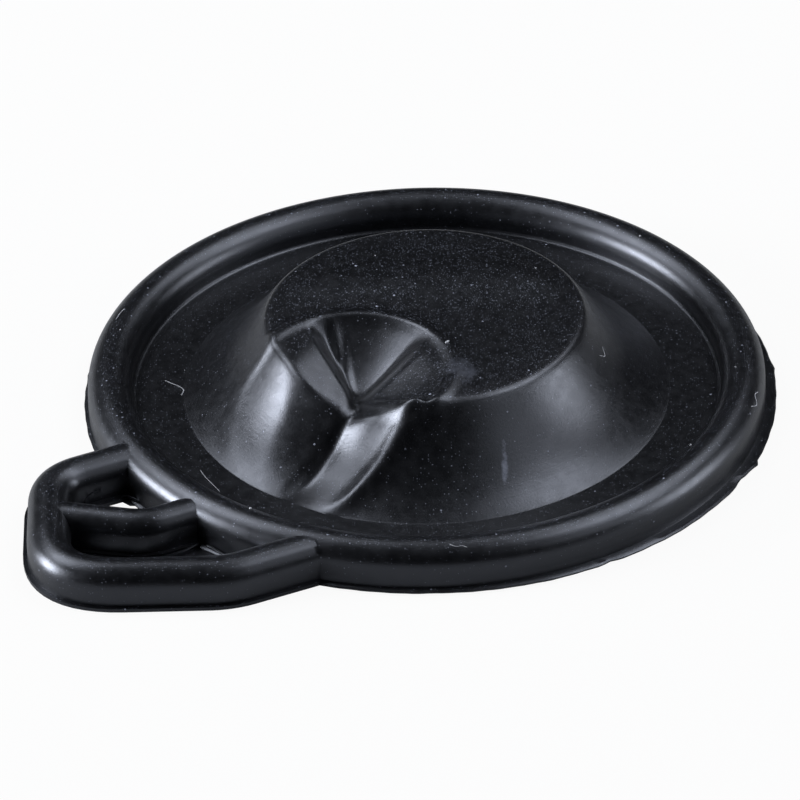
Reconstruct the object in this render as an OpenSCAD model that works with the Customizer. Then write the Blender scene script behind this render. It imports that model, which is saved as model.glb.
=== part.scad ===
// Moulded rubber diaphragm seal: a beaded rim, a flat web, a hollow hat with a buckled dent,
// and a pull tab with two windows. One piece. The rim's flat underside lies on z = 0 and the
// rim is centred on the Z axis.

/* [Rim] */
// Radius of the bead's outer wall
bead_outer_r = 27.45; // [26.5:0.05:29]
// Width of the bead's section
bead_w = 3.6; // [3:0.1:4.2]
// Height of the bead's crest above the seat
bead_h = 3.6; // [3:0.1:5]
// Fillet between the web and the bead's inner wall
root_fillet_r = 0.3; // [0.1:0.05:0.6]

/* [Sheet] */
// Thickness of the web and of the hat's wall
sheet_t = 1.0; // [0.7:0.05:1.3]

/* [Hat] */
// Radius of the hat where it leaves the web
hat_base_r = 19.7; // [18:0.1:21.5]
// Radius of the hat's flat top
hat_top_r = 12.9; // [11.5:0.1:14]
// Height of the flat top above the seat
hat_h = 8.2; // [7:0.1:10]
// Slope of the hat's wall where it leaves the web, in degrees
hat_base_slope = 27; // [10:1:35]
// Rounding of the edge round the flat top
hat_edge_round = 0.5; // [0.2:0.05:1]

/* [Dent] */
// Direction of the dent from the axis, in degrees from +X
dent_az = 234; // [0:1:359]
// Distance of the dent's middle from the axis
dent_r = 10; // [9:0.1:11]
// Reach of the dent from its middle towards the axis
dent_in = 7.9; // [6:0.1:9]
// Reach of the dent from its middle down the wall
dent_out = 11; // [9:0.1:12]
// Half width of the dent on the top
dent_half_w = 7.8; // [6:0.1:8.5]
// Loss of half width of the dent's right side on the wall
dent_narrow = 0.85; // [0:0.05:1.5]
// Gain of half width of the dent's left side on the wall
dent_widen = 1.4; // [0:0.1:2]
// Share of the dent's radius that its side takes
dent_side = 0.4; // [0.2:0.05:0.6]
// Distance of the pinch, where the dent's folds meet, from the axis
pinch_out = 11.6; // [11:0.1:13]
// Distance of the pinch from the dent's middle line
pinch_across = 1.4; // [-1:0.1:2]
// Depth of the old edge at the pinch
pinch_depth = 2.5; // [1.5:0.1:3.5]
// Rise of the old edge from the pinch to the left, per mm
shelf_rise = 0.4; // [0.3:0.02:0.6]
// Slant of the shelf behind the old edge, out per mm across
shelf_slant = 0.48; // [0.3:0.02:0.6]
// Drop of the sheet behind the shelf
back_drop = 2.2; // [0.5:0.1:2.5]
// Width of the drop behind the shelf
back_drop_w = 2.4; // [1.5:0.1:3]
// Slant of the valley inside the pinch, across per mm out
valley_slant = 0.95; // [0.7:0.05:1.1]
// Depth of the valley inside the pinch, below the pinch
pit_depth = 0.7; // [0:0.1:1]
// Distance of the right crest from the dent's middle line
crest_across = 2.6; // [1.8:0.1:3]
// Depth of the right crest at the pinch
crest_depth = 1.5; // [1:0.1:2.4]
// Rise of the right crest towards the axis, per mm
crest_rise = 0.22; // [0.1:0.02:0.3]
// Spread of the right crest down the wall, across per mm out
crest_spread = 0.2; // [0:0.05:0.8]
// Rise of the sheet to the right of the crest, per mm
right_rise = 0.15; // [0.05:0.01:0.25]
// Softness of the crest
crest_round = 0.8; // [0.2:0.1:1.2]
// Half width of the valley's floor
valley_round = 0.7; // [0.3:0.1:1]
// How fast the dent fades down the wall
dent_fade = 0.85; // [0.8:0.05:2]
// Height of the raised lip round the dent
lip_h = 0.25; // [0:0.05:0.4]
// Width of the lip, as a share of the dent's radius
lip_w = 0.08; // [0.05:0.01:0.15]

/* [Tab] */
// Width of the tab's frame bar
bar_w = 3.5; // [2.6:0.1:3.6]
// Depth of the frame bar's crest below the bead's crest
bar_drop = 0.15; // [0.05:0.05:0.5]
// Width of the bar between the windows
divider_w = 3.0; // [2.2:0.1:3.2]
// Depth of that bar's crest below the bead's crest
divider_drop = 0.3; // [0.2:0.05:0.6]
// Distance of the end bar's middle line from the axis, along X
tab_reach = 30.2; // [29.5:0.1:32]
// Distance of the long bar's middle line from the axis, along Y
side_reach = 27.5; // [27:0.1:29]
// Place along Y where the far bar's line meets the end bar's line
far_corner_y = -14.1; // [-15:0.1:-13.5]
// Place along Y where the bar between the windows starts
divider_start_y = -18.9; // [-19.5:0.1:-18.5]
// Distance of the divider's bend from the rim's centre line, to the left
divider_bend_x = 22.6; // [21:0.1:25]
// Distance of the divider's bend from the rim's centre line, to the front
divider_bend_y = 20.6; // [19:0.1:23]
// Distance from the axis, along X, where the long bar turns towards the rim
near_bend_x = 16; // [15:0.1:17.5]
// Direction in which the three bars run to the rim, in degrees from +X
bar_slant = 25; // [20:1:30]
// Length cut off the corner at the far bar
far_corner_cut = 2.6; // [1.5:0.1:2.8]
// Length cut off the corner at the long bar
near_corner_cut = 6; // [3:0.1:7]
// Length cut off the two small bends
bend_cut = 1.5; // [0.8:0.1:2.2]

/* [Flash] */
// Thickness of the flash along the seat
flash_t = 0.3; // [0.15:0.05:0.5]
// Radius of the flash round the rim
flash_r = 28.05; // [27.8:0.05:28.6]
// Sideways shift of the flash from the rim's middle, along +X
flash_shift = 0.3; // [0:0.05:0.5]
// Width of the flash round the outside of the tab
tab_flash_w = 0.7; // [0.3:0.05:1]
// Width of the flash inside the tab's windows
window_flash_w = 0.35; // [0.1:0.05:0.6]

/* [Hidden] */
rubber = [0.07, 0.075, 0.09];

bead_r = bead_w / 2;
bead_mid_r = bead_outer_r - bead_r;
bead_mid_z = bead_h - bead_r;
bead_inner_r = bead_outer_r - bead_w;

// The hat's sheet laps into the web's ring and lies a hair inside its faces there.
lap = 0.5;
lap_step = 0.03;
ring_inner_r = hat_base_r + lap;
hat_outer_r = ring_inner_r + lap;

// Steps of the hat's grid: spokes, and circles on the top, round its edge and down the wall.
sectors = 90;
top_steps = 15;
edge_steps = 6;
wall_steps = 12;
edge_in = 2 * hat_edge_round;
edge_out = hat_edge_round;
// Steps of the tab's corners and of its bars' round crests.
corner_steps = 8;
crest_steps = 14;
// The spokes crowd together round the dent.
crowding = 30;
probe = 0.4;
// Widths over which the dent's parts run into each other.
blend_w = 2.2;
fold_round = 0.4;
pit_run = 2;
least_run = 0.8;

hat_rings = concat(
    [for (i = [1:top_steps]) (hat_top_r - edge_in) * i / top_steps],
    [for (i = [1:edge_steps]) hat_top_r - edge_in + (edge_in + edge_out) * i / edge_steps],
    [for (i = [1:wall_steps])
        let (from = hat_top_r + edge_out) from + (hat_base_r - from) * i / wall_steps],
    [hat_outer_r]);
inner_rings = [for (i = [0:len(hat_rings) - 1])
    if (i % 2 == 1 || i == len(hat_rings) - 1) hat_rings[i]];

function spoke(j) =
    let (turn = 360 * j / sectors) dent_az + turn - crowding * sin(turn);

function soft_min(a, b, round) = (a + b - sqrt((a - b) ^ 2 + round ^ 2)) / 2;

function soft_max(a, b, round) = -soft_min(-a, -b, round);

// Goes from 0 at low to 1 at high with no corner.
function smooth(x, low, high) =
    let (t = min(1, max(0, (x - low) / (high - low))))
    t * t * (3 - 2 * t);

function bell(x, mid, half) = exp(-((x - mid) / half) ^ 2);

// Height of the undented hat at radius r.
function hat_z(r) =
    let (in = hat_base_r - r,
         run = hat_base_r - hat_top_r,
         rise = hat_h - sheet_t,
         start = tan(hat_base_slope),
         bend = (rise - start * run) / run ^ 2)
    in <= 0 ? sheet_t - lap_step
            : soft_min(hat_h, sheet_t - lap_step + start * in + bend * in ^ 2, hat_edge_round);

// Where a point lies in the dent: 0 in its middle, 1 on its outline.
function dent_share(out, across) =
    let (low = smooth(out, dent_r, hat_top_r),
         right = smooth(across, -blend_w, blend_w),
         half_w = dent_half_w + low * (dent_widen - (dent_widen + dent_narrow) * right))
    norm([(out - dent_r) / (out < dent_r ? dent_in : dent_out), across / half_w]);

// Depth between the dent's sides. To the left of the valley lie the shelf behind the hat's old
// edge and a drop behind it, and to the right the sheet rises over a crest.
function dent_floor(out, across) =
    let (inside = soft_max(0, pinch_out - out, fold_round),
         outside = soft_max(0, out - pinch_out, fold_round),
         valley = pinch_across - valley_slant * inside,
         crest = crest_across + crest_spread * outside,
         behind = pinch_out - out + shelf_slant * (across - pinch_across),
         left = pinch_depth - shelf_rise * (pinch_across - across)
                + back_drop * smooth(behind, 0, back_drop_w),
         low = pinch_depth + pit_depth * smooth(inside, 0, pit_run),
         high = crest_depth - crest_rise * inside,
         rising = low - (low - high) * max(across - valley, 0) / max(crest - valley, least_run),
         right = soft_max(rising, high - right_rise * (across - crest), crest_round),
         share = smooth(across - valley, -valley_round, valley_round))
    soft_max(left * (1 - share) + right * share, 0, fold_round);

// Depth of the dent at a distance out and across from the axis, along the dent's direction.
function dent_z(out, across) =
    let (e = dent_share(out, across),
         side = min(1, max(0, (1 - e) / dent_side)))
    side * (2 - side) * dent_floor(out, across) - lip_h * bell(e, 1 + lip_w / 2, lip_w);

// Height of the dented hat's outer face.
function outer_z(x, y) =
    let (r = norm([x, y]),
         out = x * cos(dent_az) + y * sin(dent_az),
         across = y * cos(dent_az) - x * sin(dent_az),
         down = min(1, max(0, (hat_base_r - r) / (hat_base_r - hat_top_r))))
    r >= hat_base_r ? hat_z(r) : max(sheet_t - lap_step, hat_z(r) - down ^ dent_fade * dent_z(out, across));

// Height of the inner face, one sheet thickness below the outer one, square to it.
function inner_z(x, y) =
    let (sx = (outer_z(x + probe, y) - outer_z(x - probe, y)) / (2 * probe),
         sy = (outer_z(x, y + probe) - outer_z(x, y - probe)) / (2 * probe))
    max(lap_step, outer_z(x, y) - (sheet_t - 2 * lap_step) * sqrt(1 + sx ^ 2 + sy ^ 2));

function ring_points(rings, inner) = [for (r = rings, j = [0:sectors - 1])
    let (x = r * cos(spoke(j)), y = r * sin(spoke(j)))
    [x, y, inner ? inner_z(x, y) : outer_z(x, y)]];

// Triangles of a sheet that starts at the point first, as seen from above or from below.
function sheet_faces(first, rings, up) =
    let (at = function(k, j) first + 1 + k * sectors + j % sectors,
         faces = concat(
             [for (j = [0:sectors - 1]) [first, at(0, j + 1), at(0, j)]],
             [for (k = [0:rings - 2], j = [0:sectors - 1], half = [0, 1])
                 half == 0 ? [at(k, j), at(k, j + 1), at(k + 1, j + 1)]
                           : [at(k, j), at(k + 1, j + 1), at(k + 1, j)]]))
    [for (f = faces) up ? f : [f[2], f[1], f[0]]];

module hat() {
    outer_n = len(hat_rings);
    inner_n = len(inner_rings);
    inner_first = 1 + outer_n * sectors;
    outer_edge = 1 + (outer_n - 1) * sectors;
    inner_edge = inner_first + 1 + (inner_n - 1) * sectors;
    edge_faces = [for (j = [0:sectors - 1], half = [0, 1])
        let (n = (j + 1) % sectors)
        half == 0 ? [outer_edge + j, outer_edge + n, inner_edge + n]
                  : [outer_edge + j, inner_edge + n, inner_edge + j]];
    polyhedron(
        points = concat([[0, 0, outer_z(0, 0)]], ring_points(hat_rings, false),
                        [[0, 0, inner_z(0, 0)]], ring_points(inner_rings, true)),
        faces = concat(sheet_faces(0, outer_n, true), sheet_faces(inner_first, inner_n, false),
                       edge_faces));
}

// Section of the rim: the web, the bead and the fillet between them.
module rim_section() {
    translate([ring_inner_r, 0])
        square([bead_mid_r - ring_inner_r, sheet_t]);
    translate([bead_inner_r, 0])
        square([bead_w, bead_mid_z]);
    translate([bead_mid_r, bead_mid_z])
        circle(r = bead_r, $fn = 64);
    translate([bead_inner_r - root_fillet_r, sheet_t])
        difference() {
            translate([0, -root_fillet_r / 2])
                square([1.5 * root_fillet_r, 1.5 * root_fillet_r]);
            translate([0, root_fillet_r])
                circle(r = root_fillet_r, $fn = 32);
        }
}

module rim() {
    rotate_extrude($fn = 180)
        rim_section();
}

// Where a line from a point outside the rim, running along the slant, meets the bead's middle.
function rim_end(from) =
    let (way = [cos(bar_slant), sin(bar_slant)],
         b = from * way,
         c = from * from - bead_mid_r ^ 2)
    from - (b + sqrt(b ^ 2 - c)) * way;

// Points of a corner that is cut back by a length and rounded between its two sides.
function round_corner(before, at, after, cut) =
    let (from = at + cut * (before - at) / norm(before - at),
         to = at + cut * (after - at) / norm(after - at))
    [for (i = [0:corner_steps]) let (t = i / corner_steps)
        from * (1 - t) ^ 2 + at * 2 * t * (1 - t) + to * t ^ 2];

// Direction across a path at one of its points, long enough to keep the bar's width in a bend.
function across_path(path, i) =
    let (last = len(path) - 1,
         a = path[max(0, i - 1)],
         b = path[i],
         c = path[min(last, i + 1)],
         before = i == 0 ? (c - b) / norm(c - b) : (b - a) / norm(b - a),
         after = i == last ? before : (c - b) / norm(c - b),
         mean = (before + after) / norm(before + after))
    [-mean.y, mean.x] / (mean * before);

// Middle line of the tab's outer frame, from the rim round the windows and back to the rim.
far_corner = [-tab_reach, far_corner_y];
near_corner = [-tab_reach, -side_reach];
near_bend = [-near_bend_x, -side_reach];
frame_path = concat(
    [rim_end(far_corner)],
    round_corner(rim_end(far_corner), far_corner, near_corner, far_corner_cut),
    round_corner(far_corner, near_corner, near_bend, near_corner_cut),
    round_corner(near_corner, near_bend, rim_end(near_bend), bend_cut),
    [rim_end(near_bend)]);

// Middle line of the bar that parts the two windows.
divider_bend = [-divider_bend_x, -divider_bend_y];
divider_path = concat(
    [[-tab_reach, divider_start_y]],
    round_corner([-tab_reach, divider_start_y], divider_bend, rim_end(divider_bend), bend_cut),
    [rim_end(divider_bend)]);

// Section of a bar, half its width either way: upright sides and a round crest.
function bar_section(width, height) = concat(
    [[-width / 2, 0]],
    [for (i = [0:crest_steps]) let (turn = 180 * i / crest_steps)
        [-width / 2 * cos(turn), height - width / 2 + width / 2 * sin(turn)]],
    [[width / 2, 0]]);

// A bar with a given section along a path. Each ring of points has one section.
module bar(path, section) {
    n = len(section);
    last = (len(path) - 1) * n;
    polyhedron(
        points = [for (i = [0:len(path) - 1], s = section)
            let (side = across_path(path, i)) [path[i].x + s.x * side.x, path[i].y + s.x * side.y, s.y]],
        faces = concat(
            [for (i = [0:len(path) - 2], k = [0:n - 1], half = [0, 1])
                let (m = (k + 1) % n, j = i * n)
                half == 0 ? [j + k, j + m, j + n + m] : [j + k, j + n + m, j + n + k]],
            [[for (k = [n - 1:-1:0]) k]],
            [[for (k = [0:n - 1]) last + k]]));
}

module tab() {
    bar(frame_path, bar_section(bar_w, bead_h - bar_drop));
    bar(divider_path, bar_section(divider_w, bead_h - divider_drop));
}

// Flat strip under a bar, wider than the bar by a flash on either side.
module flash_strip(path, width, left, right) {
    bar(path, [[-width / 2 - left, 0], [-width / 2 - left, flash_t],
               [width / 2 + right, flash_t], [width / 2 + right, 0]]);
}

// Thin flash along the seat, round the rim and under the tab.
module flash() {
    difference() {
        translate([flash_shift, 0])
            cylinder(r = flash_r, h = flash_t, $fn = 180);
        cylinder(r = bead_mid_r, h = 3 * flash_t, center = true, $fn = 180);
    }
    flash_strip(frame_path, bar_w, tab_flash_w, window_flash_w);
    flash_strip(divider_path, divider_w, window_flash_w, window_flash_w);
}

module diaphragm() {
    color(rubber) {
        rim();
        hat();
        tab();
        flash();
    }
}

diaphragm();
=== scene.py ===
"""A moulded rubber diaphragm seal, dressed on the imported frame: fine mesh, rubber, dust and light."""

import math
import random

import bmesh
import bpy
import numpy as np
from mathutils import Matrix, Vector


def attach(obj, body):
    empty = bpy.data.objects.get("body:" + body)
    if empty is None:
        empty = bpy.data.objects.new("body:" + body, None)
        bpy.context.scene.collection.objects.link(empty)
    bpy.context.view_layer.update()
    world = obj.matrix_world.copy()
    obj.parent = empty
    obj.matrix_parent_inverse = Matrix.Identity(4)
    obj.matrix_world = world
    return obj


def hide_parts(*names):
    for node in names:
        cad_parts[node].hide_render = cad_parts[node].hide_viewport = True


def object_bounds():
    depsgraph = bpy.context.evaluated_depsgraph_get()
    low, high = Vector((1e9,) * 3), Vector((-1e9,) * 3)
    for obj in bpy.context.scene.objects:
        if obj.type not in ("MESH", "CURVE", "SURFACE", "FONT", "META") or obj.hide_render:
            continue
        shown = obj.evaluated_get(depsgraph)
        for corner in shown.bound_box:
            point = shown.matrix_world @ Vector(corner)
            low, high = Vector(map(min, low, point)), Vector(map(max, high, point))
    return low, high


MM = 0.001

# Driving sizes of the part, in millimetres, as in its source.
BEAD_OUTER_R, BEAD_W, BEAD_H, ROOT_FILLET_R = 27.45, 3.6, 3.6, 0.3
SHEET_T = 1.0
HAT_BASE_R, HAT_TOP_R, HAT_H = 19.7, 12.9, 8.2
HAT_BASE_SLOPE, HAT_EDGE_ROUND = math.radians(27), 0.5
DENT_AZ = math.radians(234)
DENT_R, DENT_IN, DENT_OUT, DENT_SIDE, DENT_FADE = 10, 7.9, 11, 0.4, 0.85
DENT_HALF_W, DENT_NARROW, DENT_WIDEN = 7.8, 0.85, 1.4
PINCH_OUT, PINCH_ACROSS, PINCH_DEPTH = 11.6, 1.4, 2.5
SHELF_RISE, SHELF_SLANT, BACK_DROP, BACK_DROP_W = 0.4, 0.48, 2.2, 2.4
VALLEY_SLANT, PIT_DEPTH, VALLEY_ROUND = 0.95, 0.7, 0.7
CREST_ACROSS, CREST_DEPTH, CREST_SPREAD, LIP_H, LIP_W = 2.6, 1.5, 0.2, 0.25, 0.08
BLEND_W, FOLD_ROUND, PIT_RUN, LEAST_RUN = 2.2, 0.4, 2.0, 0.8
BAR_W, BAR_DROP, DIVIDER_W, DIVIDER_DROP = 3.5, 0.15, 3.0, 0.3
TAB_REACH, SIDE_REACH, FAR_CORNER_Y, DIVIDER_START_Y = 30.2, 27.5, -14.1, -18.9
DIVIDER_BEND, NEAR_BEND_X, BAR_SLANT = (-22.6, -20.6), 16.0, math.radians(25)
FAR_CORNER_CUT, NEAR_CORNER_CUT, BEND_CUT = 2.6, 6.0, 1.5
FLASH_T, FLASH_R, FLASH_SHIFT = 0.3, 28.05, 0.3
TAB_FLASH_W, WINDOW_FLASH_W = 0.7, 0.35

# Finer forms than the source has. A low wave across the hat's top, which fades towards its edge.
WAVE_H, WAVE_Y, WAVE_W, WAVE_FADE = 0.34, 5.4, 3.2, (9.5, 12.4)
# The hollow under the old edge: deeper, with a valley that drifts aside.
LOBE_DEPTH, LOBE_RISE, LOBE_DRIFT, LOBE_START, LOBE_RUN = 0.9, 0.28, 0.22, 0.3, 3.0
# The crest, steeper and rounder than the source's.
CREST_RISE, CREST_ROUND, RIGHT_RISE = 0.3, 1.3, 0.22
# The crest behind the old edge: its steep flank from foot to top, how far the crest steps aside and
# down and over what run, and how far in the steep flank takes over.
CREST_FOOT, CREST_TOP = 2.8, 0.4
CREST_STEP, CREST_DIP, CREST_RUN, CREST_BLEND = 1.0, 0.2, 1.2, (0.2, 1.5)
# The dent's back wall right of the valley: wider and straighter, over these ways across and out.
BACK_WIDEN, BACK_EASE, BACK_ACROSS, BACK_OUT = 0.42, 0.5, (-2, 1), (-1, 1)
# A raised crease along the dent's right outline, which fades over a share of its run at both ends.
CREASE_H, CREASE_W, CREASE_FADE = 0.4, 0.7, 0.25
CREASE = ((0.47, -12.26), (-0.57, -12.33), (-1.41, -12.82), (-2.05, -13.6), (-3.68, -15.18),
          (-6.36, -17.1), (-8.94, -17.92))
# The ragged edge of the rim's flash: seed, waves round the rim, and their size.
RAGGED_SEED, RAGGED_WAVES, RAGGED_H = 5, (7, 13, 29, 47, 83), 0.09
# The section of that edge: how far in from it, and how high.
FLASH_EDGE = ((0.12, FLASH_T - 0.02), (0, FLASH_T * 0.6), (0.03, 0.04), (0.1, 0.0))
# The small corner between the bead's foot and the flash, outwards and up.
FLASH_CORNER = (0.02, 0.05)
# Nicks and tags of the rim's flash: angle in degrees, half width in radians, size outwards.
RIM_NICKS = ((6, 0.02, 0.12), (337, 0.015, 0.25), (332, 0.02, -0.2), (171, 0.03, 0.15),
             (300, 0.02, -0.15))
# Thin torn films of flash in the tab's windows, in plan.
FILM_T = 0.12
NEAR_FILM = (
    (-29.2, -20.2), (-28.6, -21.9), (-27.2, -22.3), (-25.9, -22.2), (-24.4, -22.9), (-22.6, -22.8),
    (-21.3, -23.2), (-19.7, -22.8), (-18.3, -23.4), (-16.9, -23.1), (-15.4, -23.7), (-13.2, -24.2),
    (-12.2, -22.4), (-14.6, -20.2), (-18.6, -19.6), (-22.6, -20.9), (-25.5, -19.9),
)
FAR_FILM = (
    (-26.4, -12.6), (-25.9, -13.9), (-25.2, -14.3), (-24.5, -14.15), (-23.9, -14.7), (-23.1, -14.75),
    (-22.3, -15.4), (-21.4, -15.5), (-20.2, -16.6), (-18.9, -16.4), (-21.6, -13.0), (-24.2, -11.6),
)
# Upturned edges of those films: half thickness, and points in space.
FILM_EDGE_R = 0.1
FILM_EDGES = (
    ((-21.2, -22.4, 0.1), (-20.3, -22.05, 0.3), (-19.3, -21.6, 0.4), (-18.3, -20.85, 0.5)),
    ((-17.75, -21.1, 0.45), (-16.9, -21.8, 0.36), (-15.8, -22.7, 0.2)),
    ((-27.5, -14.9, 0.25), (-27.45, -14.7, 0.8), (-26.9, -14.45, 1.2), (-26.1, -14.0, 1.3)),
    ((-24.9, -14.1, 0.15), (-24.3, -13.9, 0.45), (-23.6, -14.4, 0.5), (-22.8, -14.9, 0.3)),
)

# Fibres and crumbs on the rubber: half thickness, and points in plan.
LINT = (
    (0.05, ((-21.24, 1.8), (-20.67, 1.33), (-19.93, 0.72), (-19.72, 0.26), (-19.9, -0.46))),
    (0.09, ((1.6, -4.95), (1.75, -4.75), (1.85, -4.6))),
    (0.035, ((-18.31, -11.25), (-17.82, -12.42), (-17.33, -13.3), (-16.69, -14.46))),
    (0.022, ((1.5, -26.2), (2.0, -26.4), (2.5, -26.35), (2.9, -26.45))),
    (0.03, ((13.9, -3.5), (14.4, -2.9), (14.2, -2.2))),
    (0.03, ((26.0, -7.0), (26.5, -6.2), (26.4, -5.3), (26.7, -4.6))),
    (0.03, ((-25.2, 7.3), (-24.9, 8.1), (-24.5, 8.8))),
    (0.09, ((-14.25, -20.7), (-14.1, -20.6))),
    (0.07, ((20.9, -12.3), (21.05, -12.25))),
    (0.07, ((24.9, -1.9), (25.0, -1.8))),
    (0.08, ((17.8, 17.9), (17.9, 18.0))),
    (0.06, ((-24.85, 5.5), (-24.8, 5.6))),
    (0.06, ((-19.7, 3.2), (-19.62, 3.24))),
    (0.05, ((9.0, 6.0), (9.1, 6.1))),
    (0.05, ((-4.0, 8.5), (-3.9, 8.45))),
)
# How high a fibre's middle line lies, and how thick its ends are, in shares of its half thickness.
LINT_LIFT, THREAD_END = 0.7, 0.35

# Looks. A noise has a scale in cells to a millimetre, a detail and a roughness. A ramp goes smoothly
# from its third number to its fourth, while a value goes from the first to the second.
RUBBER_COLOUR = (0.0008, 0.00083, 0.0011, 1)
RUBBER_SPECULAR, RUBBER_TINT = 0.72, (0.84, 0.88, 1.0, 1)
GLOSS_NOISE, GLOSS_RAMP = (1.1, 4.0, 0.5), (0.3, 0.7, 0.31, 0.37)
# Where dust lies: by height, by how level the face is, and in clouds.
HEIGHT_RAMP, LEVEL_RAMP = (SHEET_T + 0.05, SHEET_T + 0.9, 0.35, 1.0), (0.8, 1.0, 0.15, 1.0)
CLOUD_NOISE, CLOUD_RAMP = (0.22, 3.0, 0.5), (0.35, 0.7, 0.5, 1.0)
# The dust's colour, which the two painted highlights below also take.
DUST_AND_HIGHLIGHT_COLOUR, DUST_ROUGHNESS = (0.24, 0.26, 0.33, 1), 0.9
# Dust specks: cells to a millimetre, radius in millimetres, share of the cells, and how light. Each
# speck draws its size and its light: the least share of them, and what the draw adds.
FINE_SPECKS = (6.5, 0.055, 1.1, 0.4)
MEDIUM_SPECKS = (2.2, 0.085, 0.6, 0.7)
COARSE_SPECKS = (0.7, 0.12, 0.4, 1.0)
SPECK_SIZE, SPECK_LIGHT = (0.3, 0.7), (0.25, 0.75)
# A thin bloom between the specks, and how light it is.
BLOOM_NOISE, BLOOM_RAMP, BLOOM_LIGHT = (7.0, 4.0, 0.7), (0.45, 0.75), 0.01
# Painted highlights, light patches with ragged edges in the base colour: a soft painted reflection on
# the hat's top and a narrow painted highlight down its front wall. Middle in plan, half sizes along x
# and y, and how light.
PAINTED_HIGHLIGHTS = ((2.9, -8.5, 1.6, 2.3, 0.14), (6.05, -15.2, 0.34, 1.4, 0.5))
HIGHLIGHT_NOISE, HIGHLIGHT_RAGGED, HIGHLIGHT_EDGE = (1.3, 5.0, 0.7), 3.0, (2.4, 1.2)
# The moulded skin's grain, the mould's turning marks (and their scale along the radius and round
# the axis) and the dust, in relief.
GRAIN_NOISE, GRAIN_H = (5.0, 5.0, 0.65), 0.6
MARKS_NOISE, MARKS_H, MARKS_SCALE = (1.0, 5.0, 0.75), 0.5, (3.2, 0.8)
DUST_H, BUMP_STRENGTH, BUMP_H = 0.6, 0.35, 0.05
LINT_COLOURS = (0.16, 0.17, 0.19, 1), (0.5, 0.51, 0.55, 1)
LINT_NOISE, LINT_ROUGHNESS = (3.0, 2.0, 0.5), 0.8

# How finely the meshes are cut, in counts, millimetres and degrees.
SECTORS, FILLET_RINGS, BEAD_RINGS, BAR_STEPS, CORNER_STEPS = 300, 7, 40, 22, 14
PATH_STEP, SLOPE_PROBE, LEAST_GAP, SHARP_ANGLE = 0.35, 0.4, 0.003, 38
# Rings of points: first radius, last radius and count, or the radii themselves.
HAT_RINGS = (0.15, 12, 80), (12.08, 13.8, 24), (13.9, HAT_BASE_R - 0.04, 58)
INSIDE_RINGS = (20.6, 0.3, 42)
WEB_RADII, SEAT_RADII = (HAT_BASE_R, HAT_BASE_R + 0.1, 20.5, 21.5, 22.5), (27, 25, 23, 21.5)

# Square lamps round the part: name, azimuth, elevation and power; their size, distance and colour.
LAMPS = (
    ("left", 180, 12, 7.0), ("left_high", 162, 50, 1.4), ("right_low", 0, 14, 1.5),
    ("right", 0, 56, 1.25), ("back_right", 45, 56, 0.85), ("back_left", 135, 56, 0.85),
    ("front_right", -35, 34, 0.25),
)
LAMP_SIZE, LAMP_DISTANCE, LAMP_COLOUR = 0.26, 0.6, (0.92, 0.95, 1.0)
# The floor: half size and gap below the part in metres, how pale it is to other rays and to the
# camera, and how much of it glows for the camera.
FLOOR_HALF, FLOOR_GAP, FLOOR_ROUGHNESS = 3.0, 0.0001, 0.8
FLOOR_PALE, FLOOR_GLOW = (0.4, 0.5), 0.93
# How light the world is for other rays and for the camera.
WORLD_LEVEL = (0.002, 1.0)

BEAD_R = BEAD_W / 2
BEAD_MID_R = BEAD_OUTER_R - BEAD_R
BEAD_MID_Z = BEAD_H - BEAD_R
BAR_H, DIVIDER_H = BEAD_H - BAR_DROP, BEAD_H - DIVIDER_DROP

# The photograph's camera: where it stands and how it is turned, in degrees, millimetres and pixels.
PHOTO_SIZE = 800
CAMERA_ELEVATION, CAMERA_ROLL, CAMERA_DISTANCE = 33.55, -1.27, 800.0
PIXELS_PER_MM = 12.33
CENTRE_PIXEL = (427.0, 397.7)


def soft_min(a, b, width):
    return (a + b - np.sqrt((a - b) ** 2 + width * width)) / 2


def soft_max(a, b, width):
    return -soft_min(-a, -b, width)


def bell(x, middle, half):
    return np.exp(-(((x - middle) / half) ** 2))


def smooth(x, low, high):
    t = np.clip((x - low) / (high - low), 0, 1)
    return t * t * (3 - 2 * t)


def hat_height(r):
    """Height of the undented hat at a distance r from the axis."""
    inward = HAT_BASE_R - r
    run = HAT_BASE_R - HAT_TOP_R
    slope = math.tan(HAT_BASE_SLOPE)
    bend = (HAT_H - SHEET_T - slope * run) / run ** 2
    wall = SHEET_T + slope * inward + bend * inward ** 2
    return np.where(inward <= 0, SHEET_T, soft_min(HAT_H, wall, HAT_EDGE_ROUND))


def dent_share(out, across):
    """Where a point lies in the dent: 0 in its middle, 1 on its outline."""
    low = smooth(out, DENT_R, HAT_TOP_R)
    right = smooth(across, -BLEND_W, BLEND_W)
    half_w = DENT_HALF_W + low * (DENT_WIDEN - (DENT_WIDEN + DENT_NARROW) * right)
    return np.hypot((out - DENT_R) / np.where(out < DENT_R, DENT_IN, DENT_OUT), across / half_w)


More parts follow.
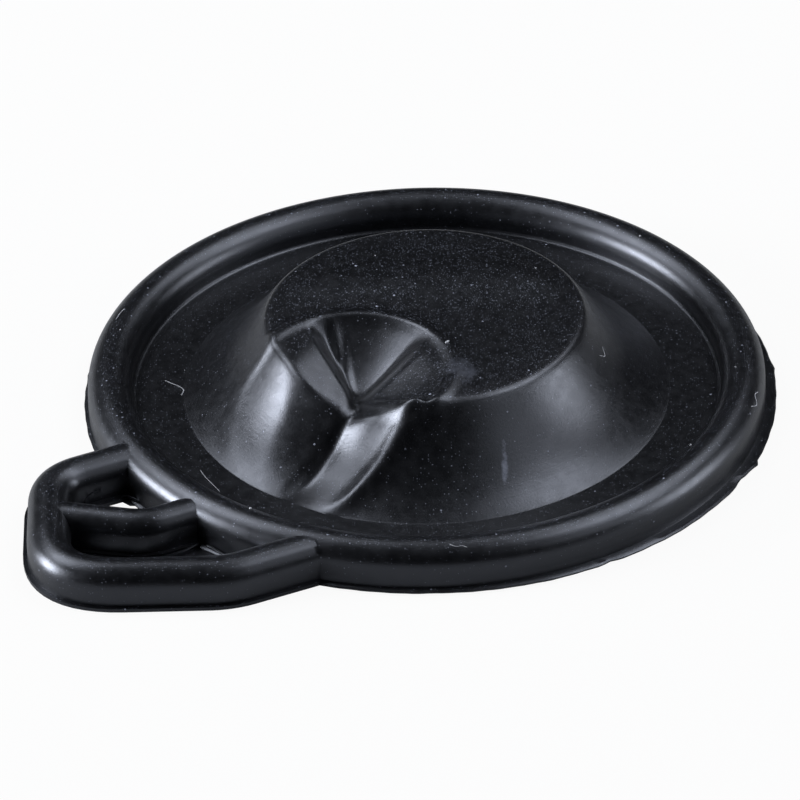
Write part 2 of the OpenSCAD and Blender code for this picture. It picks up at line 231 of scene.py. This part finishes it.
def dent_floor(out, across):
    """Depth between the dent's sides: the shelf behind the old edge and the drop behind it to the
    left of the valley, and a rise over a crest to its right."""
    inside = soft_max(0, PINCH_OUT - out, FOLD_ROUND)
    outside = soft_max(0, out - PINCH_OUT, FOLD_ROUND)
    lobe = smooth(outside, LOBE_START, LOBE_RUN)
    step = smooth(inside, 0, CREST_RUN)
    valley = PINCH_ACROSS - VALLEY_SLANT * inside - LOBE_DRIFT * outside
    crest = CREST_ACROSS + CREST_SPREAD * (outside + inside) - CREST_STEP * step
    behind = PINCH_OUT - out + SHELF_SLANT * (across - PINCH_ACROSS)
    middle = PINCH_DEPTH + LOBE_DEPTH * lobe
    left = (middle - (SHELF_RISE + LOBE_RISE * lobe) * (PINCH_ACROSS - across)
            + BACK_DROP * smooth(behind, 0, BACK_DROP_W))
    low = middle + PIT_DEPTH * smooth(inside, 0, PIT_RUN)
    high = CREST_DEPTH + CREST_DIP * step - CREST_RISE * inside
    even = np.maximum(across - valley, 0) / np.maximum(crest - valley, LEAST_RUN)
    steep = smooth(across - crest, -CREST_FOOT, CREST_TOP)
    rising = low - (low - high) * (even + (steep - even) * smooth(inside, *CREST_BLEND))
    right = soft_max(rising, high - RIGHT_RISE * (across - crest), CREST_ROUND)
    share = smooth(across - valley, -VALLEY_ROUND, VALLEY_ROUND)
    return soft_max(left * (1 - share) + right * share, 0, FOLD_ROUND)


def dent_depth(out, across):
    """Depth of the dent, out from the axis and across the dent's middle line."""
    place = dent_share(out, across)
    back = PINCH_OUT - out
    valley = PINCH_ACROSS - VALLEY_SLANT * back
    wide = smooth(across - valley, *BACK_ACROSS) * smooth(back, *BACK_OUT)
    side = np.clip((1 - place) / (DENT_SIDE + BACK_WIDEN * wide), 0, 1)
    share = 1 - (1 - side) ** (2 - BACK_EASE * wide)
    return share * dent_floor(out, across) - LIP_H * bell(place, 1 + LIP_W / 2, LIP_W)


def crease_height(x, y):
    """What the crease adds to the outer face."""
    nearest, place = 0 * x + np.inf, 0 * x
    for i, (a, b) in enumerate(zip(CREASE[:-1], CREASE[1:])):
        run = (b[0] - a[0], b[1] - a[1])
        t = ((x - a[0]) * run[0] + (y - a[1]) * run[1]) / (run[0] ** 2 + run[1] ** 2)
        t = np.clip(t, 0, 1)
        gap = np.hypot(x - a[0] - t * run[0], y - a[1] - t * run[1])
        place = np.where(gap < nearest, (i + t) / (len(CREASE) - 1), place)
        nearest = np.minimum(gap, nearest)
    ends = smooth(place, 0, CREASE_FADE) * smooth(1 - place, 0, CREASE_FADE)
    return CREASE_H * ends * bell(nearest, 0, CREASE_W)


def outer_height(x, y):
    """Height of the hat's and the web's outer face."""
    r = np.hypot(x, y)
    out = x * math.cos(DENT_AZ) + y * math.sin(DENT_AZ)
    across = y * math.cos(DENT_AZ) - x * math.sin(DENT_AZ)
    down = np.clip((HAT_BASE_R - r) / (HAT_BASE_R - HAT_TOP_R), 0, 1)
    wave = WAVE_H * bell(y, WAVE_Y, WAVE_W) * (1 - smooth(r, *WAVE_FADE))
    dented = hat_height(r) - down ** DENT_FADE * dent_depth(out, across)
    dented = dented + wave + crease_height(x, y)
    return np.where(r >= HAT_BASE_R, SHEET_T, np.maximum(SHEET_T, dented))


def inner_height(x, y):
    """Height of the inner face, one sheet thickness below the outer one, square to it."""
    probe = SLOPE_PROBE
    sx = (outer_height(x + probe, y) - outer_height(x - probe, y)) / (2 * probe)
    sy = (outer_height(x, y + probe) - outer_height(x, y - probe)) / (2 * probe)
    return np.maximum(0, outer_height(x, y) - SHEET_T * np.sqrt(1 + sx ** 2 + sy ** 2))


def new_object(name, points, faces):
    """An object in the scene from points in millimetres."""
    mesh = bpy.data.meshes.new(name)
    mesh.from_pydata((np.asarray(points) * MM).tolist(), [], faces)
    mesh.validate()
    mesh.update()
    piece = bpy.data.objects.new(name, mesh)
    bpy.context.scene.collection.objects.link(piece)
    return piece


def ripple(angle, seed, harmonics):
    """A smooth uneven line round the rim, from a few seeded waves, about -1 to 1."""
    draw = random.Random(seed)
    total = 0 * angle
    for count in harmonics:
        total = total + draw.uniform(0.5, 1) * np.sin(count * angle + draw.uniform(0, 2 * math.pi))
    return total / len(harmonics)


def disc_mesh(name):
    """The hat, web, bead and rim flash as one closed skin: circles of points from the top's middle
    over the rim to the underside's middle."""
    turn = np.linspace(0, 2 * math.pi, SECTORS, endpoint=False)
    cos, sin = np.cos(turn), np.sin(turn)
    rings = []

    def add(radius, height, shift=0.0):
        rings.append(np.stack([radius * cos + shift, radius * sin, height + 0 * turn], -1))

    inner_r = BEAD_MID_R - BEAD_R
    # The hat, with close rings at its top edge, and the web.
    for r in np.concatenate([np.linspace(*span) for span in HAT_RINGS]):
        add(r, outer_height(r * cos, r * sin))
    for r in WEB_RADII + (inner_r - 2 * ROOT_FILLET_R,):
        add(r, SHEET_T)
    # The bead from its root fillet over the top to the flash.
    for a in np.linspace(0, math.pi / 2, FILLET_RINGS):
        add(inner_r - ROOT_FILLET_R * (1 - math.sin(a)), SHEET_T + ROOT_FILLET_R * (1 - math.cos(a)))
    for a in np.linspace(0, math.pi, BEAD_RINGS):
        add(BEAD_MID_R - BEAD_R * math.cos(a), BEAD_MID_Z + BEAD_R * math.sin(a))
    add(BEAD_OUTER_R, (BEAD_MID_Z + FLASH_T) / 2)
    add(BEAD_OUTER_R, FLASH_T + FLASH_CORNER[1])
    add(BEAD_OUTER_R + FLASH_CORNER[0], FLASH_T)
    # The flash's uneven edge.
    edge = FLASH_R + ripple(turn, RAGGED_SEED, RAGGED_WAVES) * RAGGED_H
    for angle, width, size in RIM_NICKS:
        aside = (turn - math.radians(angle) + math.pi) % (2 * math.pi) - math.pi
        edge = edge + size * bell(aside, 0, width)
    for inwards, height in FLASH_EDGE:
        add(edge - inwards, height, FLASH_SHIFT)
    # The seat, and the hat's inner face.
    for r in SEAT_RADII:
        add(r, 0.0)
    for r in np.linspace(*INSIDE_RINGS):
        add(r, inner_height(r * cos, r * sin))
    points = [(0, 0, float(outer_height(0.0, 0.0)))]
    for ring in rings:
        points.extend(ring.tolist())
    points.append((0, 0, float(inner_height(0.0, 0.0))))
    last = len(points) - 1
    faces = []
    for j in range(SECTORS):
        n = (j + 1) % SECTORS
        faces.append((0, 1 + j, 1 + n))
        for k in range(len(rings) - 1):
            a, b = 1 + k * SECTORS, 1 + (k + 1) * SECTORS
            faces.append((a + j, b + j, b + n, a + n))
        tail = 1 + (len(rings) - 1) * SECTORS
        faces.append((last, tail + n, tail + j))
    return new_object(name, points, faces)


def rim_end(start):
    """Where a line along the slant meets the bead's middle circle."""
    way = np.array([math.cos(BAR_SLANT), math.sin(BAR_SLANT)])
    start = np.array(start)
    b = start @ way
    c = start @ start - BEAD_MID_R ** 2
    return start - (b + math.sqrt(b * b - c)) * way


def round_corner(before, at, after, cut):
    """Points of a curve that cuts the corner at a point between two others."""
    before, at, after = (np.array(p, float) for p in (before, at, after))
    start = at + cut * (before - at) / np.linalg.norm(before - at)
    end = at + cut * (after - at) / np.linalg.norm(after - at)
    return [start * (1 - t) ** 2 + at * 2 * t * (1 - t) + end * t * t
            for t in np.linspace(0, 1, CORNER_STEPS)]


def frame_path():
    """The middle line of the tab's frame, from bead to bead."""
    far, near = (-TAB_REACH, FAR_CORNER_Y), (-TAB_REACH, -SIDE_REACH)
    bend = (-NEAR_BEND_X, -SIDE_REACH)
    return ([rim_end(far)] + round_corner(rim_end(far), far, near, FAR_CORNER_CUT)
            + round_corner(far, near, bend, NEAR_CORNER_CUT)
            + round_corner(near, bend, rim_end(bend), BEND_CUT) + [rim_end(bend)])


def divider_path():
    """The middle line of the bar between the tab's windows."""
    start = (-TAB_REACH, DIVIDER_START_Y)
    return ([np.array(start)] + round_corner(start, DIVIDER_BEND, rim_end(DIVIDER_BEND), BEND_CUT)
            + [rim_end(DIVIDER_BEND)])


def refine(path):
    """The same path with points about a step apart."""
    points = [path[0]]
    for a, b in zip(path[:-1], path[1:]):
        count = max(1, int(np.linalg.norm(b - a) / PATH_STEP))
        points.extend(a + (b - a) * i / count for i in range(1, count + 1))
    return points


def bar_mesh(name, path, section):
    """A closed bar with one section along a path in plan."""
    n, last = len(section), len(path) - 1
    points, faces = [], []
    for i, p in enumerate(path):
        before = path[max(1, i)] - path[max(1, i) - 1]
        after = path[min(last, i + 1)] - path[min(last, i + 1) - 1]
        before, after = before / np.linalg.norm(before), after / np.linalg.norm(after)
        mean = (before + after) / np.linalg.norm(before + after)
        side = np.array([-mean[1], mean[0]]) / (mean @ before)
        points.extend((p[0] + s[0] * side[0], p[1] + s[0] * side[1], s[1]) for s in section)
    for i in range(last):
        for k in range(n):
            m, j = (k + 1) % n, i * n
            faces.append((j + n + k, j + n + m, j + m, j + k))
    faces.append(tuple(range(n)))
    faces.append(tuple(last * n + k for k in range(n - 1, -1, -1)))
    return new_object(name, points, faces)


def round_section(width, height):
    """Section of a bar with upright sides and a round top."""
    half = width / 2
    rows = [(-half, 0.0), (-half, (height - half) / 2)]
    for a in np.linspace(0, math.pi, BAR_STEPS):
        rows.append((-half * math.cos(a), height - half + half * math.sin(a)))
    return rows + [(half, (height - half) / 2), (half, 0.0)]


def strip_section(width, left, right):
    """Section of the flash under a bar."""
    start, end = -width / 2 - left, width / 2 + right
    return [(start, 0.0), (start, FLASH_T), (end, FLASH_T), (end, 0.0)]


def film_mesh(name, outline):
    """A thin plate with a plan outline, lying on the ground."""
    n = len(outline)
    points = [(x, y, 0.0) for x, y in outline] + [(x, y, FILM_T) for x, y in outline]
    faces = [tuple(range(n))[::-1], tuple(range(n, 2 * n))]
    faces += [(i, (i + 1) % n, n + (i + 1) % n, n + i) for i in range(n)]
    return new_object(name, points, faces)


def smooth_path(path, steps=6):
    """Points along a smooth curve through the given ones."""
    path = np.array(path, float)
    ends = np.vstack([2 * path[0] - path[1], path, 2 * path[-1] - path[-2]])
    curve = []
    for i in range(1, len(path)):
        a, b, c, d = ends[i - 1:i + 3]
        for t in np.arange(steps) / steps:
            curve.append(0.5 * (2 * b + (c - a) * t + (2 * a - 5 * b + 4 * c - d) * t * t
                                + (3 * b - a - 3 * c + d) * t ** 3))
    return curve + [path[-1]]


def thread_mesh(path, radius, sides=6):
    """Points and faces of a round thread along a path, thin at both ends."""
    path = np.array(path)
    last = len(path) - 1
    points, faces = [], []
    for i, p in enumerate(path):
        along = path[min(last, i + 1)] - path[max(0, i - 1)]
        along = along / np.linalg.norm(along)
        side = np.cross(along, (0, 0, 1.0))
        side = side / np.linalg.norm(side)
        up = np.cross(side, along)
        size = radius * (THREAD_END if i in (0, last) else 1)
        for k in range(sides):
            a = 2 * math.pi * k / sides
            points.append(p + size * (math.cos(a) * side + math.sin(a) * up))
    for i in range(last):
        for k in range(sides):
            m = (k + 1) % sides
            faces.append((i * sides + k, (i + 1) * sides + k, (i + 1) * sides + m, i * sides + m))
    faces.append(tuple(range(sides)))
    faces.append(tuple(last * sides + k for k in range(sides))[::-1])
    return points, faces


def join_solids(base, others):
    """One closed skin out of several that overlap."""
    for other in others:
        cut = base.modifiers.new("join", "BOOLEAN")
        cut.operation = "UNION"
        cut.object = other
        cut.solver = "MANIFOLD"
        bpy.context.view_layer.objects.active = base
        bpy.ops.object.modifier_apply(modifier=cut.name)
        bpy.data.objects.remove(other)


def drop_slivers(piece):
    """Merges points that nearly meet and removes the faces that have no area or hang on nothing."""
    shape = bmesh.new()
    shape.from_mesh(piece.data)
    bmesh.ops.remove_doubles(shape, verts=shape.verts, dist=LEAST_GAP * MM)
    bmesh.ops.triangulate(shape, faces=[face for face in shape.faces if len(face.verts) > 4])
    bmesh.ops.dissolve_degenerate(shape, edges=shape.edges, dist=LEAST_GAP * MM)
    loose = [face for face in shape.faces if all(len(edge.link_faces) < 2 for edge in face.edges)]
    bmesh.ops.delete(shape, geom=loose, context="FACES")
    shape.to_mesh(piece.data)
    shape.free()


def shade_smooth(piece):
    for polygon in piece.data.polygons:
        polygon.use_smooth = True


def make_diaphragm():
    """The whole seal as one skin."""
    skin = disc_mesh("diaphragm_skin")
    thin = WINDOW_FLASH_W
    parts = [
        bar_mesh("frame_bar", refine(frame_path()), round_section(BAR_W, BAR_H)),
        bar_mesh("divider_bar", refine(divider_path()), round_section(DIVIDER_W, DIVIDER_H)),
        bar_mesh("frame_flash", frame_path(), strip_section(BAR_W, thin, TAB_FLASH_W)),
        bar_mesh("divider_flash", divider_path(), strip_section(DIVIDER_W, thin, thin)),
        film_mesh("near_film", NEAR_FILM),
        film_mesh("far_film", FAR_FILM),
    ]
    for edge in FILM_EDGES:
        parts.append(new_object("film_edge", *thread_mesh(smooth_path(edge), FILM_EDGE_R)))
    join_solids(skin, parts)
    drop_slivers(skin)
    shade_smooth(skin)
    skin.data.set_sharp_from_angle(angle=math.radians(SHARP_ANGLE))
    return skin


class Nodes:
    """Short calls for the nodes of one material or world."""

    def __init__(self, owner):
        owner.use_nodes = True
        self.tree = owner.node_tree
        self.shader = self.tree.nodes.get("Principled BSDF")

    def add(self, kind, **inputs):
        node = self.tree.nodes.new("ShaderNode" + kind)
        for name, value in inputs.items():
            self.put(value, node.inputs[name.replace("_", " ")])
        return node

    def put(self, value, socket):
        if isinstance(value, bpy.types.NodeSocket):
            self.tree.links.new(value, socket)
        else:
            socket.default_value = value

    def math(self, operation, *values):
        node = self.tree.nodes.new("ShaderNodeMath")
        node.operation = operation
        for value, socket in zip(values, node.inputs):
            self.put(value, socket)
        return node.outputs[0]

    def ramp(self, value, low, high, to_low=0.0, to_high=1.0):
        """Goes smoothly from one level to another while the value goes from low to high."""
        node = self.add("MapRange", Value=value, From_Min=low, From_Max=high,
                        To_Min=to_low, To_Max=to_high)
        node.interpolation_type = "SMOOTHSTEP"
        return node.outputs[0]

    def noise(self, place, kind):
        scale, detail, roughness = kind
        return self.add("TexNoise", Vector=place, Scale=scale, Detail=detail,
                        Roughness=roughness).outputs[0]

    def millimetres(self):
        """The place on the piece, in millimetres."""
        return self.add("Mapping", Vector=self.add("TexCoord").outputs["Object"],
                        Scale=(1 / MM,) * 3).outputs[0]

    def mix(self, share, first, second):
        """A colour between two, by a share."""
        node = self.add("Mix", Factor=share)
        node.data_type = "RGBA"
        node.inputs[6].default_value = first
        node.inputs[7].default_value = second
        return node.outputs[2]

    def by_camera_ray(self, other, camera):
        """One level for the camera's own rays and another for all others."""
        ray = self.add("LightPath").outputs["Is Camera Ray"]
        return self.add("MapRange", Value=ray, To_Min=other, To_Max=camera).outputs[0]

    def specks(self, place, cover, kind):
        """Round specks of mixed sizes: about one for each cell, and fewer where the cover is thin."""
        per_mm, radius, most, light = kind
        cells = self.add("TexVoronoi", Vector=place, Scale=per_mm)
        draw = self.add("SeparateColor", Color=cells.outputs["Color"])
        least, more = (share * radius * per_mm for share in SPECK_SIZE)
        size = self.math("MULTIPLY_ADD", draw.outputs[1], more, least)
        inside = self.math("LESS_THAN", cells.outputs["Distance"], size)
        kept = self.math("LESS_THAN", draw.outputs[0], self.math("MULTIPLY", cover, most))
        least, more = SPECK_LIGHT
        level = self.math("MULTIPLY_ADD", draw.outputs[2], more, least)
        shown = self.math("MULTIPLY", self.math("MULTIPLY", inside, kept), level)
        return self.math("MULTIPLY", shown, light)


def rubber_material():
    """Black rubber with a satin gloss, dust, two painted highlights and a fine grain."""
    material = bpy.data.materials.new("rubber")
    n = Nodes(material)
    place = n.millimetres()
    x, y, z = n.add("SeparateXYZ", Vector=place).outputs
    radius = n.math("SQRT", n.math("ADD", n.math("MULTIPLY", x, x), n.math("MULTIPLY", y, y)))
    facing = n.add("SeparateXYZ", Vector=n.add("NewGeometry").outputs["Normal"]).outputs[2]

    # Where dust lies: thick on the hat's top and the bead's top, thin on the web and on walls.
    raised, level = n.ramp(z, *HEIGHT_RAMP), n.ramp(facing, *LEVEL_RAMP)
    clouds = n.ramp(n.noise(place, CLOUD_NOISE), *CLOUD_RAMP)
    cover = n.math("MULTIPLY", n.math("MULTIPLY", raised, level), clouds)

    fine = n.specks(place, cover, FINE_SPECKS)
    medium = n.specks(place, cover, MEDIUM_SPECKS)
    coarse = n.specks(place, cover, COARSE_SPECKS)
    dust = n.math("MINIMUM", n.math("ADD", fine, n.math("MAXIMUM", medium, coarse)), 1.0)
    bloom = n.ramp(n.noise(place, BLOOM_NOISE), *BLOOM_RAMP)
    bloom = n.math("MULTIPLY", bloom, n.math("MULTIPLY", cover, BLOOM_LIGHT))
    light = n.math("MAXIMUM", dust, bloom)

    # Two painted highlights in the base colour: a soft painted reflection on the hat's top and a narrow
    # painted highlight down its front wall.
    ragged = n.noise(place, HIGHLIGHT_NOISE)
    for middle_x, middle_y, half_x, half_y, most in PAINTED_HIGHLIGHTS:
        aside = n.math("MULTIPLY", n.math("SUBTRACT", x, middle_x), 1 / half_x)
        along = n.math("MULTIPLY", n.math("SUBTRACT", y, middle_y), 1 / half_y)
        away = n.math("ADD", n.math("MULTIPLY", aside, aside), n.math("MULTIPLY", along, along))
        edge = n.math("MULTIPLY_ADD", ragged, HIGHLIGHT_RAGGED, away)
        light = n.math("MAXIMUM", light, n.ramp(edge, *HIGHLIGHT_EDGE, 0.0, most))
    n.put(n.mix(light, RUBBER_COLOUR, DUST_AND_HIGHLIGHT_COLOUR), n.shader.inputs["Base Color"])

    # Satin gloss, dull on the dust.
    gloss = n.ramp(n.noise(place, GLOSS_NOISE), *GLOSS_RAMP)
    dull = n.math("MULTIPLY", dust, DUST_ROUGHNESS)
    n.put(n.math("MAXIMUM", gloss, dull), n.shader.inputs["Roughness"])
    n.put(RUBBER_SPECULAR, n.shader.inputs["Specular IOR Level"])
    n.put(RUBBER_TINT, n.shader.inputs["Specular Tint"])

    # The fine relief.
    grain = n.noise(place, GRAIN_NOISE)
    turned = n.add("CombineXYZ", X=n.math("MULTIPLY", radius, MARKS_SCALE[0]),
                   Y=n.math("MULTIPLY", n.math("ARCTAN2", y, x), MARKS_SCALE[1])).outputs[0]
    marks = n.noise(turned, MARKS_NOISE)
    height = n.math("ADD", n.math("MULTIPLY", grain, GRAIN_H), n.math("MULTIPLY", marks, MARKS_H))
    height = n.math("ADD", height, n.math("MULTIPLY", dust, DUST_H))
    bump = n.add("Bump", Strength=BUMP_STRENGTH, Distance=BUMP_H * MM, Height=height)
    n.put(bump.outputs[0], n.shader.inputs["Normal"])
    return material


def lint_material():
    """Pale grey fibres and crumbs, unevenly light."""
    material = bpy.data.materials.new("lint")
    n = Nodes(material)
    share = n.noise(n.millimetres(), LINT_NOISE)
    n.put(n.mix(share, *LINT_COLOURS), n.shader.inputs["Base Color"])
    n.put(LINT_ROUGHNESS, n.shader.inputs["Roughness"])
    return material


def top_height(x, y):
    """Height of the topmost face of the hat, web or bead."""
    r = math.hypot(x, y)
    across = abs(r - BEAD_MID_R)
    if across < BEAD_R:
        return BEAD_MID_Z + math.sqrt(BEAD_R ** 2 - across ** 2)
    return float(outer_height(np.float64(x), np.float64(y)))


def make_lint():
    """The fibres and crumbs that lie on the rubber, as one piece."""
    points, faces = [], []
    for radius, path in LINT:
        curve = [(x, y, top_height(x, y) + radius * LINT_LIFT) for x, y in smooth_path(path)]
        more, rings = thread_mesh(curve, radius)
        faces.extend(tuple(i + len(points) for i in face) for face in rings)
        points.extend(more)
    lint = new_object("lint", points, faces)
    shade_smooth(lint)
    return lint


def floor_material():
    """A pale matte floor that also glows for the camera, so that it ends up white and still takes
    the part's shadow."""
    material = bpy.data.materials.new("floor")
    n = Nodes(material)
    n.put(FLOOR_ROUGHNESS, n.shader.inputs["Roughness"])
    n.put(n.by_camera_ray(*FLOOR_PALE), n.shader.inputs["Base Color"])
    share, glow = n.by_camera_ray(0.0, FLOOR_GLOW), n.add("Emission").outputs[0]
    mix = n.add("MixShader")
    for value, socket in zip((share, n.shader.outputs[0], glow), mix.inputs):
        n.put(value, socket)
    n.put(mix.outputs[0], n.tree.nodes["Material Output"].inputs[0])
    return material


def make_floor(lowest):
    mesh = bpy.data.meshes.new("floor")
    h, z = FLOOR_HALF, lowest - FLOOR_GAP
    mesh.from_pydata([(-h, -h, z), (h, -h, z), (h, h, z), (-h, h, z)], [], [(0, 1, 2, 3)])
    floor = bpy.data.objects.new("floor", mesh)
    bpy.context.scene.collection.objects.link(floor)
    mesh.materials.append(floor_material())


def make_world():
    """White to the camera, and nearly dark to all else."""
    world = bpy.data.worlds.new("studio")
    bpy.context.scene.world = world
    n = Nodes(world)
    background = n.tree.nodes["Background"]
    n.put((1, 1, 1, 1), background.inputs["Color"])
    n.put(n.by_camera_ray(*WORLD_LEVEL), background.inputs["Strength"])


def softbox(name, azimuth, elevation, watts):
    """A square lamp that looks at the origin."""
    lamp = bpy.data.lights.new(name, "AREA")
    lamp.shape = "RECTANGLE"
    lamp.size, lamp.size_y, lamp.energy, lamp.color = LAMP_SIZE, LAMP_SIZE, watts, LAMP_COLOUR
    holder = bpy.data.objects.new(name, lamp)
    a, e = math.radians(azimuth), math.radians(elevation)
    way = Vector((math.cos(a) * math.cos(e), math.sin(a) * math.cos(e), math.sin(e)))
    holder.location = way * LAMP_DISTANCE
    holder.rotation_euler = (-holder.location).to_track_quat("-Z", "Y").to_euler()
    bpy.context.scene.collection.objects.link(holder)


def make_lights():
    for name, azimuth, elevation, watts in LAMPS:
        softbox(name + "_softbox", azimuth, elevation, watts)


def make_camera():
    """The camera that took the photograph, which looks past the origin by its lens shift."""
    el, roll = math.radians(CAMERA_ELEVATION), math.radians(CAMERA_ROLL)
    forward = Vector((0, math.cos(el), -math.sin(el)))
    level = Vector((1, 0, 0))
    upward = level.cross(forward)
    right = level * math.cos(roll) + upward * math.sin(roll)
    up = -level * math.sin(roll) + upward * math.cos(roll)
    lens = bpy.data.cameras.new("camera")
    camera = bpy.data.objects.new("camera", lens)
    bpy.context.scene.collection.objects.link(camera)
    place = Matrix.Identity(4)
    for i in range(3):
        place[i][0], place[i][1], place[i][2] = right[i], up[i], -forward[i]
        place[i][3] = -forward[i] * CAMERA_DISTANCE * MM
    camera.matrix_world = place
    lens.lens = lens.sensor_width * PIXELS_PER_MM * CAMERA_DISTANCE / PHOTO_SIZE
    lens.shift_x = (PHOTO_SIZE / 2 - CENTRE_PIXEL[0]) / PHOTO_SIZE
    lens.shift_y = (CENTRE_PIXEL[1] - PHOTO_SIZE / 2) / PHOTO_SIZE
    bpy.context.scene.camera = camera


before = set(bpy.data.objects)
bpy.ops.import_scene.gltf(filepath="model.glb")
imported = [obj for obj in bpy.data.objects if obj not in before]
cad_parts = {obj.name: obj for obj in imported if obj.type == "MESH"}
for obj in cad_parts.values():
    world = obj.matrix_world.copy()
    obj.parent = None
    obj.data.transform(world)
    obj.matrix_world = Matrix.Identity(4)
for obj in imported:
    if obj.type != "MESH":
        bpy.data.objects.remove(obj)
cad_box = [list(corner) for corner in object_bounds()]
bpy.context.scene.view_settings.view_transform = "Standard"
make_camera()
make_world()
make_lights()
skin = make_diaphragm()
skin.data.materials.clear()
skin.data.materials.append(rubber_material())
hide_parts("diaphragm")
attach(skin, "root")
lint = make_lint()
lint.data.materials.append(lint_material())
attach(lint, "root")
make_floor(cad_box[0][2])
